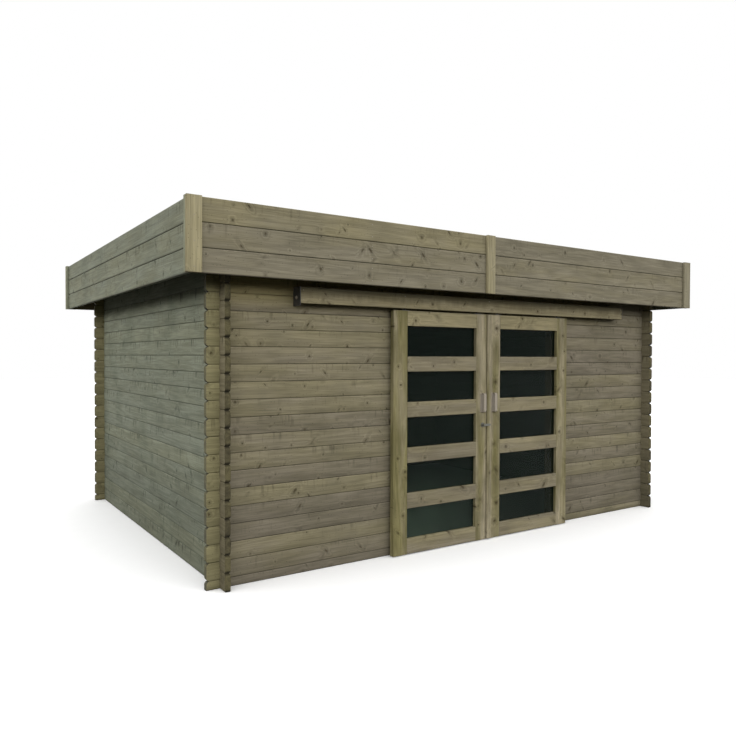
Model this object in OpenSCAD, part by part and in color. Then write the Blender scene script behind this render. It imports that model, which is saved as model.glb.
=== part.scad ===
// Garden shed of interlocking timber logs with a flat roof behind a high board fascia
// and two glazed doors that slide on a track in front of the wall.
// Millimetres. X runs along the front, Y from front to back, Z up, origin on the ground
// under the middle of the roof.

/* [Log walls] */
// Length of the front, between the outer faces of the side walls
wall_len = 4420; // [4000:10:5200]
// Depth of the side, between the outer faces of the front and back walls
wall_dep = 3240; // [2400:10:4200]
// Thickness of a log
log_t = 40; // [34:1:58]
// Height that each log adds to a wall
log_h = 114; // [104:1:124]
// Full logs in the height of a wall, to which half a log is added
log_rows = 18; // [18:1:21]
// How far a log runs past the wall that it crosses
log_end = 88; // [50:1:140]
// Bevel along the edges of a log
log_bevel = 4; // [2:0.5:6]
// Chamfer at the top and bottom corner of a log's end
end_chamfer = 20; // [8:1:28]
// Width of the tongue on top of a log
tongue_w = 12; // [8:1:16]
// Height of the tongue on top of a log
tongue_h = 8; // [4:1:10]
// Gap left between one log and the next
log_gap = 0.3; // [0.2:0.1:1]
// Play of a tongue in its groove and of a log in a corner notch
log_play = 0.5; // [0.3:0.1:1]

/* [Doorway] */
// Clear width between the jambs
doorway_w = 1600; // [1200:10:1640]
// How far the doorway lies to the right of the middle of the front
doorway_x = 40; // [-60:1:60]
// Full logs beside the doorway
doorway_rows = 15; // [14:1:15]
// Thickness of the jambs and of the head board
jamb_t = 34; // [28:1:45]
// How far a jamb stands proud of each face of the wall
jamb_lip = 14; // [8:1:18]
// Depth of the groove in a jamb that takes the log ends
jamb_groove = 14; // [8:1:18]

/* [Sliding doors] */
// How far the outer edge of a door laps over its jamb when shut
door_side_lap = 143; // [110:1:170]
// Thickness of a door
door_t = 40; // [36:1:48]
// Width of each stile
stile_w = 128; // [110:1:140]
// Height of each rail
rail_h = 113; // [90:1:125]
// Panes in the height of a door
pane_rows = 5; // [3:1:6]
// How far the top of a door laps over the doorway
door_lap = 52; // [30:1:70]
// Gap under a door
door_floor_gap = 6; // [5:1:20]
// Gap between a door and the face of the wall
door_wall_gap = 27; // [24:1:40]
// Gap between the doors when both are shut
shut_gap = 6; // [5:1:10]
// Width of the strip on the right door that covers the joint between the doors
strip_w = 45; // [36:1:50]
// Thickness of that strip
strip_t = 15; // [12:1:18]
// Gap between that strip and the face of the left door
strip_gap = 5; // [5:0.5:7]
// How far that strip ends short of the top and the bottom of the door
strip_short = 4; // [2:1:20]
// Width of the rebate that holds a pane
rebate_w = 10; // [6:1:14]
// Depth of the glass behind the face of a door
glass_depth = 28; // [20:1:29]
// Thickness of the glass
glass_t = 4; // [3:0.5:6]
// Play between the edge of a pane and its rebate
glass_play = 0.5; // [0.3:0.1:2]

/* [Door furniture] */
// Height of the middle of the handles
handle_z = 1110; // [900:10:1250]
// Length of a handle
handle_len = 155; // [120:1:200]
// Width of a handle's back plate
plate_w = 56; // [40:1:64]
// Thickness of a handle's back plate
plate_t = 2.5; // [2:0.5:4]
// Width of a handle's grip
grip_w = 26; // [16:1:34]
// How far a grip stands off the door
grip_reach = 30; // [24:1:45]
// Thickness of a grip
grip_t = 6; // [4:1:8]
// Outer radius of a grip's bends
grip_r = 15; // [10:1:18]
// Distance of the handles and the lock from the meeting edge
handle_inset = 57; // [54:1:68]
// Height of the lock
lock_z = 932; // [800:1:990]
// Diameter of the lock's rosette
rosette_d = 38; // [30:1:50]
// Diameter of the lock's turn knob
knob_d = 20; // [14:1:26]
// Length of the lock's lever, from the middle of the knob to the middle of its round end
lever_l = 58; // [40:1:66]
// Width of the lever
lever_w = 18; // [12:1:20]
// Thickness of the lever
lever_t = 4; // [3:0.5:6]
// Gap between the lever and the strip behind it
lever_gap = 5.5; // [5:0.5:7]
// How far the knob stands off the lever
knob_reach = 4; // [2:1:8]

/* [Track] */
// How far the middle of the track lies to the right of the middle of the front
track_x = 15; // [-60:1:60]
// Length of the track and of its cover board
track_len = 3400; // [3200:10:3600]
// Width of the track
track_w = 38; // [34:1:40]
// Height of the track
track_h = 40; // [36:1:46]
// Wall of the track
track_t = 2.5; // [2:0.5:3]
// Slot along the underside of the track
track_slot = 14; // [13:1:16]
// Gap from the top of a door to the track
track_lift = 22; // [18:1:30]
// Wheels of the hangers
wheel_d = 22; // [18:1:24]
// Width of a wheel
wheel_w = 6; // [4:0.5:7]
// Running gap between a wheel and the track
wheel_gap = 0.3; // [0.2:0.1:0.5]
// Bolt of a hanger
bolt_d = 10; // [8:1:11]
// Distance of a hanger from the edge of its door
hanger_inset = 110; // [80:5:200]
// Strap that the brackets are bent from
strap_t = 4; // [3:0.5:6]
// Width of a bracket
strap_w = 40; // [30:1:60]
// Height of the cover board
cover_h = 112; // [100:1:140]
// Thickness of the cover board
cover_t = 20; // [16:1:28]
// Gap from the top of a door to the cover board
cover_gap = 12; // [8:1:16]
// Distance from the face of the wall to the back of the cover board
cover_reach = 80; // [76:1:100]
// Thickness of the plates that close the ends of the track
end_plate_t = 4; // [3:0.5:6]
// How far the left end plate hangs below the cover board
end_plate_drop = 16; // [4:1:18]

/* [Roof] */
// Overhang of the fascia in front and behind
eaves_y = 290; // [220:5:400]
// Overhang of the fascia at the sides
eaves_x = 310; // [220:5:400]
// Width of a roof joist
joist_w = 45; // [38:1:60]
// Height of a roof joist
joist_h = 95; // [70:1:100]
// Joists between the side walls
joist_count = 5; // [3:1:7]
// Thickness of the roof boards
deck_t = 18; // [15:1:24]
// Thickness of the roofing felt
felt_t = 3; // [2:0.5:5]
// Height of each fascia board
fascia_board = 148; // [130:1:160]
// Rows of fascia boards
fascia_rows = 3; // [3:1:4]
// Thickness of a fascia board
fascia_t = 22; // [18:1:28]
// How far the fascia hangs below the top of the walls
fascia_drop = 148; // [130:1:160]
// Bevel along the edges of a fascia board
fascia_bevel = 4; // [2:0.5:6]
// Width of the corner trims in front and behind
trim_w = 95; // [60:1:110]
// Width of the corner trims at the sides
side_trim_w = 30; // [25:1:110]
// Width of the batten over the joint in the fascia
batten_w = 83; // [60:1:110]
// Thickness of the trims and battens
trim_t = 25; // [18:1:28]
// Place of the fascia joint, measured from the middle of the front
joint_x = -143; // [-300:1:300]
// Side of the studs that hold the fascia above the roof
stud = 45; // [38:1:60]
// How far the studs end below the top of the fascia
stud_drop = 16; // [8:1:40]

/* [Hidden] */
$fn = 48;
eps = 1;

// Colours of the green treated pine, the steel, the glass and the felt
pine = "#8a8166";
pine_light = "#968a6c";
pine_shade = "#7d7862";
steel = "#9a9c9e";
dark_steel = "#4c4e50";
pane_green = "#28332d";
felt_grey = "#3a3c3b";

// Walls
half_len = wall_len / 2;
half_dep = wall_dep / 2;
wall_top = (log_rows + 0.5) * log_h;
quarter = log_h / 4;
cross_x = half_len - log_t / 2;
cross_y = half_dep - log_t / 2;
log_len_x = wall_len + 2 * log_end;
log_len_y = wall_dep + 2 * log_end;
notch_w = log_t + 2 * log_play;

// Doorway
doorway_h = (doorway_rows + 0.5) * log_h;
jamb_face = doorway_w / 2;
log_stop = jamb_face + jamb_t - jamb_groove;

// Doors
door_back_y = -half_dep - door_wall_gap;
door_front_y = door_back_y - door_t;
door_mid_y = door_back_y - door_t / 2;
door_top = doorway_h + door_lap;
door_h = door_top - door_floor_gap;
door_w = (doorway_w - shut_gap) / 2 + door_side_lap;
pane_w = door_w - 2 * stile_w;
pane_h = (door_h - (pane_rows + 1) * rail_h) / pane_rows;
rebate_t = door_t - glass_depth;
left_edge_x = doorway_x - shut_gap / 2;
right_edge_x = doorway_x + shut_gap / 2;
strike_t = 2;
strike_w = 22;
strike_h = 110;

// Track, hangers and cover board
track_z = door_top + track_lift;
lip_top = track_z + track_t;
wheel_z = lip_top + wheel_gap + wheel_d / 2;
wheel_side_gap = 1.5;
wheel_y = track_w / 2 - track_t - wheel_side_gap - wheel_w / 2;
hanger_plate_l = 70;
hanger_plate_w = 34;
hanger_plate_t = 4;
carriage_l = 56;
carriage_w = 8;
carriage_h = 14;
wheel_base = 30;
axle_d = 6;
cover_z = door_top + cover_gap;
cover_back_y = -half_dep - cover_reach;
strap_rise = 30;
bracket_count = 5;
bracket_span = track_len - strap_w;

// Roof and fascia
roof_x = half_len + eaves_x;
roof_y = half_dep + eaves_y;
board_x = roof_x - trim_t;
board_y = roof_y - trim_t;
inner_x = board_x - fascia_t;
inner_y = board_y - fascia_t;
deck_top = wall_top + deck_t;
felt_top = deck_top + felt_t;
fascia_z = wall_top - fascia_drop;
fascia_h = fascia_rows * fascia_board;
joist_pitch = wall_len / (joist_count + 1);
joist_play = 0.5;

// Outline of a log or a board in cross-section: w thick, h high, bevelled along its four
// edges, with a groove along the bottom and a tongue along the top where it has them
function plank_outline(w, h, bevel, groove, tongue) =
    let (
        a = w / 2,
        g = tongue_w / 2 + log_play,
        gd = tongue_h + log_gap + log_play,
        t = tongue_w / 2
    )
    concat(
        [[bevel - a, 0]],
        groove ? [[-g, 0], [-g, gd], [g, gd], [g, 0]] : [],
        [[a - bevel, 0], [a, bevel], [a, h - bevel], [a - bevel, h]],
        tongue ? [[t, h], [t, h + tongue_h], [-t, h + tongue_h], [-t, h]] : [],
        [[bevel - a, h], [-a, h - bevel], [-a, bevel]]
    );

// A plank from X = x0 to X = x1, centred on Y, standing on Z = 0
module plank(x0, x1, w, h, bevel, groove, tongue) {
    translate([x0, 0, 0])
        rotate([90, 0, 90])
            linear_extrude(x1 - x0)
                polygon(plank_outline(w, h, bevel, groove, tongue));
}

// Wedges that chamfer the corners of a log's end at X = 0, the log lying towards +X:
// the top one, and the bottom one unless the log lies on the ground
module end_wedges(h, bottom) {
    over = tongue_h + eps;
    rotate([90, 0, 0])
        linear_extrude(2 * log_t, center = true) {
            if (!bottom)
                polygon([[-eps, end_chamfer + eps], [-eps, -eps], [end_chamfer + eps, -eps]]);
            polygon([
                [-eps, h - end_chamfer - eps],
                [end_chamfer + over, h + over],
                [-eps, h + over],
            ]);
        }
}

// Slots at X = 0 where a crossing wall takes a quarter of the log's height, below or above
module corner_notch(h, below, above) {
    if (below)
        translate([-notch_w / 2, -log_t, -eps])
            cube([notch_w, 2 * log_t, quarter + eps]);
    if (above)
        translate([-notch_w / 2, -log_t, h - quarter])
            cube([notch_w, 2 * log_t, quarter + tongue_h + eps]);
}

// One log from X = x0 to X = x1, notched for the walls that cross it.
// row_h is the height that it adds to the wall, and a chamfer is cut where an end runs past a wall.
module log(x0, x1, row_h, crossings, bottom, top) {
    h = top ? row_h : row_h - log_gap;
    difference() {
        plank(x0, x1, log_t, h, log_bevel, !bottom, !top);
        for (x = crossings) {
            translate([x, 0, 0])
                corner_notch(row_h, !bottom || row_h == log_h, !top || row_h == log_h);
            if (x < 0)
                translate([x0, 0, 0])
                    end_wedges(h, bottom);
            else
                translate([x1, 0, 0])
                    mirror([1, 0, 0])
                        end_wedges(h, bottom);
        }
    }
}

// Height of the bottom of a row of logs: front and back walls start with half a log,
// side walls end with one, so that the rows interlock at the corners
function front_row_z(row) = row == 0 ? 0 : (row - 0.5) * log_h;
function front_row_h(row) = row == 0 ? log_h / 2 : log_h;
function side_row_h(row) = row == log_rows ? log_h / 2 : log_h;

// Rows of front or back wall logs from X = x0 to X = x1
module front_rows(rows, x0, x1, crossings) {
    for (row = rows)
        translate([0, 0, front_row_z(row)])
            log(x0, x1, front_row_h(row), crossings, row == 0, row == log_rows);
}

module side_wall() {
    color(pine_shade)
        rotate([0, 0, 90])
            for (row = [0 : log_rows])
                translate([0, 0, row * log_h])
                    log(-log_len_y / 2, log_len_y / 2, side_row_h(row), [-cross_y, cross_y],
                        row == 0, row == log_rows);
}

// Seats for the joists, cut in the top row of the front and back walls
module joist_seats() {
    for (x = joist_places())
        translate([x - joist_w / 2 - joist_play, -log_t, wall_top - joist_h])
            cube([joist_w + 2 * joist_play, 2 * log_t, joist_h + eps]);
}

function joist_places() =
    [for (i = [1 : joist_count]) i * joist_pitch - half_len];

module left_wall() {
    translate([-cross_x, 0, 0])
        side_wall();
}

module right_wall() {
    translate([cross_x, 0, 0])
        side_wall();
}

module back_wall() {
    color(pine)
        translate([0, cross_y, 0])
            difference() {
                front_rows([0 : log_rows], -log_len_x / 2, log_len_x / 2, [-cross_x, cross_x]);
                joist_seats();
            }
}

module front_wall_left() {
    color(pine)
        translate([0, -cross_y, 0])
            front_rows([0 : doorway_rows], -log_len_x / 2, doorway_x - log_stop, [-cross_x]);
}

module front_wall_right() {
    color(pine)
        translate([0, -cross_y, 0])
            front_rows([0 : doorway_rows], doorway_x + log_stop, log_len_x / 2, [cross_x]);
}

// Full-length logs over the doorway
module front_wall_top() {
    color(pine)
        translate([0, -cross_y, 0])
            difference() {
                front_rows([doorway_rows + 1 : log_rows], -log_len_x / 2, log_len_x / 2,
                    [-cross_x, cross_x]);
                joist_seats();
            }
}

// Jambs grooved over the cut ends of the logs
module door_jambs() {
    color(pine_light)
        for (side = [-1, 1])
            translate([doorway_x + side * (jamb_face + jamb_t / 2), -cross_y, 0])
                difference() {
                    translate([-jamb_t / 2, -log_t / 2 - jamb_lip, 0])
                        cube([jamb_t, log_t + 2 * jamb_lip, doorway_h]);
                    translate([side * (jamb_t - jamb_groove) - jamb_t / 2, -notch_w / 2, -eps])
                        cube([jamb_t, notch_w, doorway_h + 2 * eps]);
                }
}

// Board under the logs that bridge the doorway
module door_head() {
    color(pine_light)
        translate([doorway_x - jamb_face, -cross_y - log_t / 2 - jamb_lip, doorway_h - jamb_t])
            cube([doorway_w, log_t + 2 * jamb_lip, jamb_t]);
}

module joist() {
    translate([-joist_w / 2, -inner_y, wall_top - joist_h])
        cube([joist_w, 2 * inner_y, joist_h]);
}

module roof_joists() {
    color(pine_light)
        for (x = joist_places())
            translate([x, 0, 0])
                joist();
}

// Joists outside the side walls, behind the side fascias
module verge_joists() {
    color(pine_light)
        for (side = [-1, 1])
            translate([side * (inner_x - joist_w / 2), 0, 0])
                joist();
}

module roof_deck() {
    color(pine_light)
        translate([-inner_x, -inner_y, wall_top])
            cube([2 * inner_x, 2 * inner_y, deck_t]);
}

module roof_felt() {
    color(felt_grey)
        translate([-inner_x, -inner_y, deck_top])
            cube([2 * inner_x, 2 * inner_y, felt_t]);
}

// Fascia boards from X = x0 to X = x1, their outer face towards -Y at Y = 0
module fascia_boards(x0, x1) {
    for (row = [0 : fascia_rows - 1])
        translate([0, fascia_t / 2, fascia_z + row * fascia_board])
            plank(x0, x1, fascia_t, row == fascia_rows - 1 ? fascia_board : fascia_board - log_gap,
                fascia_bevel, row > 0, row < fascia_rows - 1);
}

// Children turned to face each side of the roof, from one drawn facing -Y
module to_back() {
    rotate([0, 0, 180])
        children();
}

module to_left() {
    rotate([0, 0, -90])
        children();
}

module to_right() {
    rotate([0, 0, 90])
        children();
}

module long_fascia(x0, x1) {
    color(pine)
        translate([0, -board_y, 0])
            fascia_boards(x0, x1);
}

module short_fascia() {
    color(pine_shade)
        translate([0, -board_x, 0])
            fascia_boards(-inner_y, inner_y);
}

// Upright cover strips on the outer face of the fascia at Y = y, each given by its start and width
module trims(y, strips) {
    color(pine_light)
        for (s = strips)
            translate([s[0], y - trim_t, fascia_z])
                cube([s[1], trim_t, fascia_h]);
}

// Corner trims of a long side, which cover the ends of the others, and the batten over its joint
module long_trims(batten_mid) {
    trims(-board_y, [
        [-roof_x, trim_w],
        [roof_x - trim_w, trim_w],
        [batten_mid - batten_w / 2, batten_w],
    ]);
}

// Corner trims of a short side
module short_trims() {
    trims(-board_x, [[-board_y, side_trim_w], [board_y - side_trim_w, side_trim_w]]);
}

// Studs inside the fascia, standing on the roof
module fascia_studs() {
    reach_x = inner_x - stud / 2;
    reach_y = inner_y - stud / 2;
    places = concat(
        [for (y = [-reach_y, reach_y]) for (x = [-reach_x, -reach_x / 2, reach_x / 2, reach_x]) [x, y]],
        [[joint_x, -reach_y], [-joint_x, reach_y], [-reach_x, 0], [reach_x, 0]]
    );
    color(pine_light)
        for (p = places)
            translate([p[0] - stud / 2, p[1] - stud / 2, felt_top])
                cube([stud, stud, fascia_z + fascia_h - stud_drop - felt_top]);
}

// Channel open along its underside
module door_track() {
    color(dark_steel)
        translate([track_x, door_mid_y, track_z])
            rotate([90, 0, 90])
                linear_extrude(track_len, center = true)
                    difference() {
                        translate([-track_w / 2, 0])
                            square([track_w, track_h]);
                        translate([track_t - track_w / 2, track_t])
                            square([track_w - 2 * track_t, track_h - 2 * track_t]);
                        translate([-track_slot / 2, -eps])
                            square([track_slot, track_t + 2 * eps]);
                    }
}

// Bent straps from the wall over the track to the back of the cover board
module track_brackets() {
    arm_z = track_z + track_h;
    wall_y = -half_dep;
    color(dark_steel)
        for (i = [0 : bracket_count - 1])
            translate([track_x + bracket_span * (i / (bracket_count - 1) - 0.5), 0, 0])
                rotate([90, 0, 90])
                    linear_extrude(strap_w, center = true) {
                        translate([wall_y - strap_t, arm_z - track_h])
                            square([strap_t, track_h + strap_t + strap_rise]);
                        translate([cover_back_y, arm_z])
                            square([cover_reach, strap_t]);
                        translate([cover_back_y, arm_z - track_h / 2])
                            square([strap_t, track_h / 2 + strap_t + strap_rise]);
                    }
}

// Plates across the ends of the track and of the cover board, each with its drop below the board
module track_end_plates() {
    plates = [
        [track_x - track_len / 2 - end_plate_t, end_plate_drop],
        [track_x + track_len / 2, 0],
    ];
    color(dark_steel)
        for (p = plates)
            translate([p[0], cover_back_y - cover_t, cover_z - p[1]])
                cube([end_plate_t, cover_reach + cover_t, cover_h + p[1]]);
}

module track_cover_board() {
    color(pine)
        translate([track_x - track_len / 2, cover_back_y - cover_t, cover_z])
            cube([track_len, cover_t, cover_h]);
}

// Children drawn for a door whose meeting edge is at X = 0 and which lies towards +X
module at_left_door() {
    translate([left_edge_x, door_front_y, door_floor_gap])
        mirror([1, 0, 0])
            children();
}

module at_right_door() {
    translate([right_edge_x, door_front_y, door_floor_gap])
        children();
}

function pane_z(i) = rail_h + i * (pane_h + rail_h);

// Space behind each pane, wider than the pane by the rebate
module rebates() {
    for (i = [0 : pane_rows - 1])
        translate([stile_w - rebate_w, glass_depth, pane_z(i) - rebate_w])
            cube([pane_w + 2 * rebate_w, rebate_t + eps, pane_h + 2 * rebate_w]);
}

module stiles() {
    color(pine_light)
        difference() {
            for (x = [0, door_w - stile_w])
                translate([x, 0, 0])
                    cube([stile_w, door_t, door_h]);
            rebates();
        }
}

module rails() {
    color(pine_light)
        difference() {
            for (i = [0 : pane_rows])
                translate([stile_w, 0, i * (pane_h + rail_h)])
                    cube([pane_w, door_t, rail_h]);
            rebates();
        }
}

module panes() {
    grow = rebate_w - glass_play;
    color(pane_green)
        for (i = [0 : pane_rows - 1])
            translate([stile_w - grow, glass_depth, pane_z(i) - grow])
                cube([pane_w + 2 * grow, glass_t, pane_h + 2 * grow]);
}

// Frames of bead that hold the panes from behind
module beads() {
    grow = rebate_w - glass_play;
    bead_y = glass_depth + glass_t;
    color(pine_light)
        for (i = [0 : pane_rows - 1])
            translate([stile_w, bead_y, pane_z(i)])
                difference() {
                    translate([-grow, 0, -grow])
                        cube([pane_w + 2 * grow, door_t - bead_y, pane_h + 2 * grow]);
                    translate([0, -eps, 0])
                        cube([pane_w, door_t - bead_y + 2 * eps, pane_h]);
                }
}

// A rectangle with rounded corners, from the origin
module rounded_rect(w, h, r) {
    translate([r, 0])
        square([w - 2 * r, h]);
    translate([0, r])
        square([w, h - 2 * r]);
    for (x = [r, w - r])
        for (y = [r, h - r])
            translate([x, y])
                circle(r);
}

// Bow handle on a back plate
module handle() {
    bow = grip_reach - plate_t;
    color(steel)
        translate([handle_inset, 0, handle_z - door_floor_gap - handle_len / 2]) {
            translate([-plate_w / 2, -plate_t, 0])
                cube([plate_w, plate_t, handle_len]);
            translate([0, -grip_reach, 0])
                rotate([90, 0, 90])
                    linear_extrude(grip_w, center = true)
                        intersection() {
                            difference() {
                                rounded_rect(2 * grip_reach, handle_len, grip_r);
                                translate([grip_t, grip_t])
                                    rounded_rect(2 * grip_reach, handle_len - 2 * grip_t, grip_r - grip_t);
                            }
                            square([bow, handle_len]);
                        }
        }
}

// Rosette and turn knob on the face of a door, with a lever that lies across the joint
module lock() {
    lever_back = strip_t + lever_gap;
    color(dark_steel)
        translate([handle_inset, 0, lock_z - door_floor_gap])
            rotate([90, 0, 0]) {
                cylinder(h = plate_t, d = rosette_d);
                cylinder(h = lever_back + lever_t + knob_reach, d = knob_d);
                translate([-lever_l, 0, lever_back]) {
                    cylinder(h = lever_t, d = lever_w);
                    translate([0, -lever_w / 2, 0])
                        cube([lever_l, lever_w, lever_t]);
                }
            }
}

// Plate let into the meeting edge of the other door
module strike_space(play) {
    translate([-play, (door_t - strike_w) / 2 - play, lock_z - door_floor_gap - strike_h / 2 - play])
        cube([strike_t + play, strike_w + 2 * play, strike_h + 2 * play]);
}

// Strip over the joint between the doors, cut back where it passes in front of the other door
module cover_strip() {
    reach = (strip_w + shut_gap) / 2;
    color(pine_light)
        translate([-reach, -strip_t, strip_short])
            difference() {
                cube([strip_w, strip_t, door_h - 2 * strip_short]);
                translate([-eps, strip_t - strip_gap, -eps])
                    cube([reach + eps, strip_gap + eps, door_h]);
            }
}

// Two hangers: a plate on the door's top, a bolt, and a carriage on four wheels in the track
module hangers() {
    color(steel)
        for (x = [hanger_inset, door_w - hanger_inset])
            translate([x, door_t / 2, door_h]) {
                translate([-hanger_plate_l / 2, -hanger_plate_w / 2, 0])
                    cube([hanger_plate_l, hanger_plate_w, hanger_plate_t]);
                cylinder(h = wheel_z - door_top, d = bolt_d);
                translate([-carriage_l / 2, -carriage_w / 2, wheel_z - door_top - carriage_h / 2])
                    cube([carriage_l, carriage_w, carriage_h]);
                for (w = [-wheel_base / 2, wheel_base / 2])
                    translate([w, 0, wheel_z - door_top])
                        rotate([90, 0, 0]) {
                            cylinder(h = 2 * wheel_y, d = axle_d, center = true);
                            for (side = [-1, 1])
                                translate([0, 0, side * wheel_y])
                                    cylinder(h = wheel_w, d = wheel_d, center = true);
                        }
            }
}

left_wall();
right_wall();
back_wall();
front_wall_left();
front_wall_right();
front_wall_top();
door_jambs();
door_head();
roof_joists();
verge_joists();
roof_deck();
roof_felt();
long_fascia(-board_x, joint_x - log_gap / 2);  // front_fascia_left
long_fascia(joint_x + log_gap / 2, board_x);  // front_fascia_right
to_back() long_fascia(joint_x + log_gap / 2, board_x);  // back_fascia_left
to_back() long_fascia(-board_x, joint_x - log_gap / 2);  // back_fascia_right
to_left() short_fascia();  // left_fascia
to_right() short_fascia();  // right_fascia
long_trims(joint_x);  // front_trims
to_back() long_trims(joint_x);  // back_trims
to_left() short_trims();  // left_trims
to_right() short_trims();  // right_trims
fascia_studs();
door_track();
track_brackets();
track_end_plates();
track_cover_board();
at_left_door() stiles();  // left_door_stiles
at_left_door() rails();  // left_door_rails
at_left_door() panes();  // left_door_glass
at_left_door() beads();  // left_door_beads
at_left_door() handle();  // left_door_handle
at_left_door() hangers();  // left_door_hangers
at_left_door() lock();  // left_door_lock
at_right_door() difference() { stiles(); strike_space(log_gap); }  // right_door_stiles
at_right_door() rails();  // right_door_rails
at_right_door() panes();  // right_door_glass
at_right_door() beads();  // right_door_beads
at_right_door() handle();  // right_door_handle
at_right_door() hangers();  // right_door_hangers
at_right_door() strike_space(0);  // right_door_strike
at_right_door() cover_strip();  // right_door_strip
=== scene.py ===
"""Garden shed: rounded pine logs and boards, felt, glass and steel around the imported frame, with its light
and camera."""
import math

import bmesh
import bpy
import numpy as np
from mathutils import Matrix, Vector


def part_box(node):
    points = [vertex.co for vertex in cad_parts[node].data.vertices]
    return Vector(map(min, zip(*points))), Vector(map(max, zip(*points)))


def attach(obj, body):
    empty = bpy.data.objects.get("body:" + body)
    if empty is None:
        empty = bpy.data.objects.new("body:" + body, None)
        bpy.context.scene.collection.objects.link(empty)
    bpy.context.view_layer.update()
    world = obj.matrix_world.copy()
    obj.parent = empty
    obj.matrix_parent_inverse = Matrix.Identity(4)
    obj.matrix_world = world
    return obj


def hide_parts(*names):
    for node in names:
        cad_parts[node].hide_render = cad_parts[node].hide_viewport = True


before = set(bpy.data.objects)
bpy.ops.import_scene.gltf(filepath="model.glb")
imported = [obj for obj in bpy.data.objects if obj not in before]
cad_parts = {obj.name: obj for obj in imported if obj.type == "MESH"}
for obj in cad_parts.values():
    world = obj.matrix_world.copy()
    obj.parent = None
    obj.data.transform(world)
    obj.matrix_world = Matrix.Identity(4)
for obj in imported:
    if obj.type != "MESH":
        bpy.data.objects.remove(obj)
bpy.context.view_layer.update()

rng = np.random.default_rng(20)
MM = 0.001

X = np.array([1.0, 0.0, 0.0])
Y = np.array([0.0, 1.0, 0.0])
Z = np.array([0.0, 0.0, 1.0])


def box(node):
    """Lowest and highest corner of a frame node as arrays."""
    low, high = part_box(node)
    return np.array(low), np.array(high)


# Rows of logs: whole ones in a wall, and those that the doorway cuts
LOG_ROWS = 18
DOORWAY_ROWS = 15

# Places read from the frame
left_low, left_high = box("left_wall")
right_low, right_high = box("right_wall")
back_low, back_high = box("back_wall")
head_low, head_high = box("door_head")
deck_low, deck_high = box("roof_deck")
felt_low, felt_high = box("roof_felt")
cover_low, cover_high = box("track_cover_board")
wall_top = left_high[2]
log_h = wall_top / (LOG_ROWS + 0.5)
log_t = left_high[0] - left_low[0]
cross_x = (right_low[0] + right_high[0]) / 2
cross_y = (back_low[1] + back_high[1]) / 2
log_reach_x = back_high[0]
log_reach_y = left_high[1]

# Shape of the logs and boards
LOG_CROWN = 1.6 * MM
LOG_BEVEL = 4.5 * MM
LOG_BEVEL_DEPTH = 5.0 * MM
LOG_END_CHAMFER = 20 * MM
NOTCH_PLAY = 0.5 * MM
LOG_BOW = 0.8 * MM
LOG_GAP = 0.3 * MM
BODY_STEP = 0.4
EDGE_ROUND = 3.0 * MM
CORNER_SHARE = 0.35
END_GRAIN_SLOPE = 0.3
WELD = 0.05 * MM


# Timber pieces: each is a grid of points, a closed profile carried along the grain

def cut_corners(corners, size):
    """Each corner of a closed outline gives way to two points, size along the edges that meet there."""
    size = np.broadcast_to(size, len(corners))[:, None]
    before = np.roll(corners, 1, axis=0) - corners
    after = np.roll(corners, -1, axis=0) - corners
    before /= np.linalg.norm(before, axis=1, keepdims=True)
    after /= np.linalg.norm(after, axis=1, keepdims=True)
    pairs = np.stack([corners + size * before, corners + size * after], axis=1).reshape(-1, 2)
    kept = np.stack([np.ones(len(corners), bool), size[:, 0] > 0], axis=1).reshape(-1)
    return pairs[kept]


def soft_outline(corners, size):
    """Outline whose corners are cut, and the cuts' own corners cut again, which reads as a rounded edge."""
    corners = np.asarray(corners, float)
    size = np.broadcast_to(np.asarray(size, float), len(corners))
    once = cut_corners(corners, size)
    again = np.repeat(size * CORNER_SHARE, np.where(size > 0, 2, 1))
    return cut_corners(once, again)


def board_outline(height, thickness, edge=EDGE_ROUND):
    """Upright rectangle, from 0 to height and centred in its thickness, with softened corners."""
    half = thickness / 2
    return soft_outline([[height, -half], [height, half], [0, half], [0, -half]], edge)


def log_outline(height, thickness, face_points=7):
    """Log's cross-section: each face bulges as the square of the distance from its middle, then a bevel
    turns in to the joint with the next log."""
    half = thickness / 2
    across = np.linspace(-1, 1, face_points)
    rise = height / 2 + across * (height / 2 - LOG_BEVEL)
    bulge = half - LOG_CROWN * across ** 2
    face = np.stack([rise, bulge], axis=1)
    lip = half - LOG_BEVEL_DEPTH
    near = np.concatenate([[[0, lip]], face, [[height, lip]]])
    far = near[::-1] * [1, -1]
    return np.concatenate([near, far])[::-1]


def carried(outline, stations):
    """Outline carried along a bar. A station is (along, low, high, pinch): there the outline's height is held
    between low and high, and its thickness is pinch less on both faces."""
    stations = np.asarray(stations, float)
    half = np.abs(outline[:, 1]).max() - stations[:, 3:4]
    up = np.clip(outline[None, :, 0], stations[:, 1:2], stations[:, 2:3])
    through = np.clip(outline[None, :, 1], -half, half)
    along = np.broadcast_to(stations[:, :1], up.shape)
    return np.stack([along, up, through], axis=2)


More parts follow.
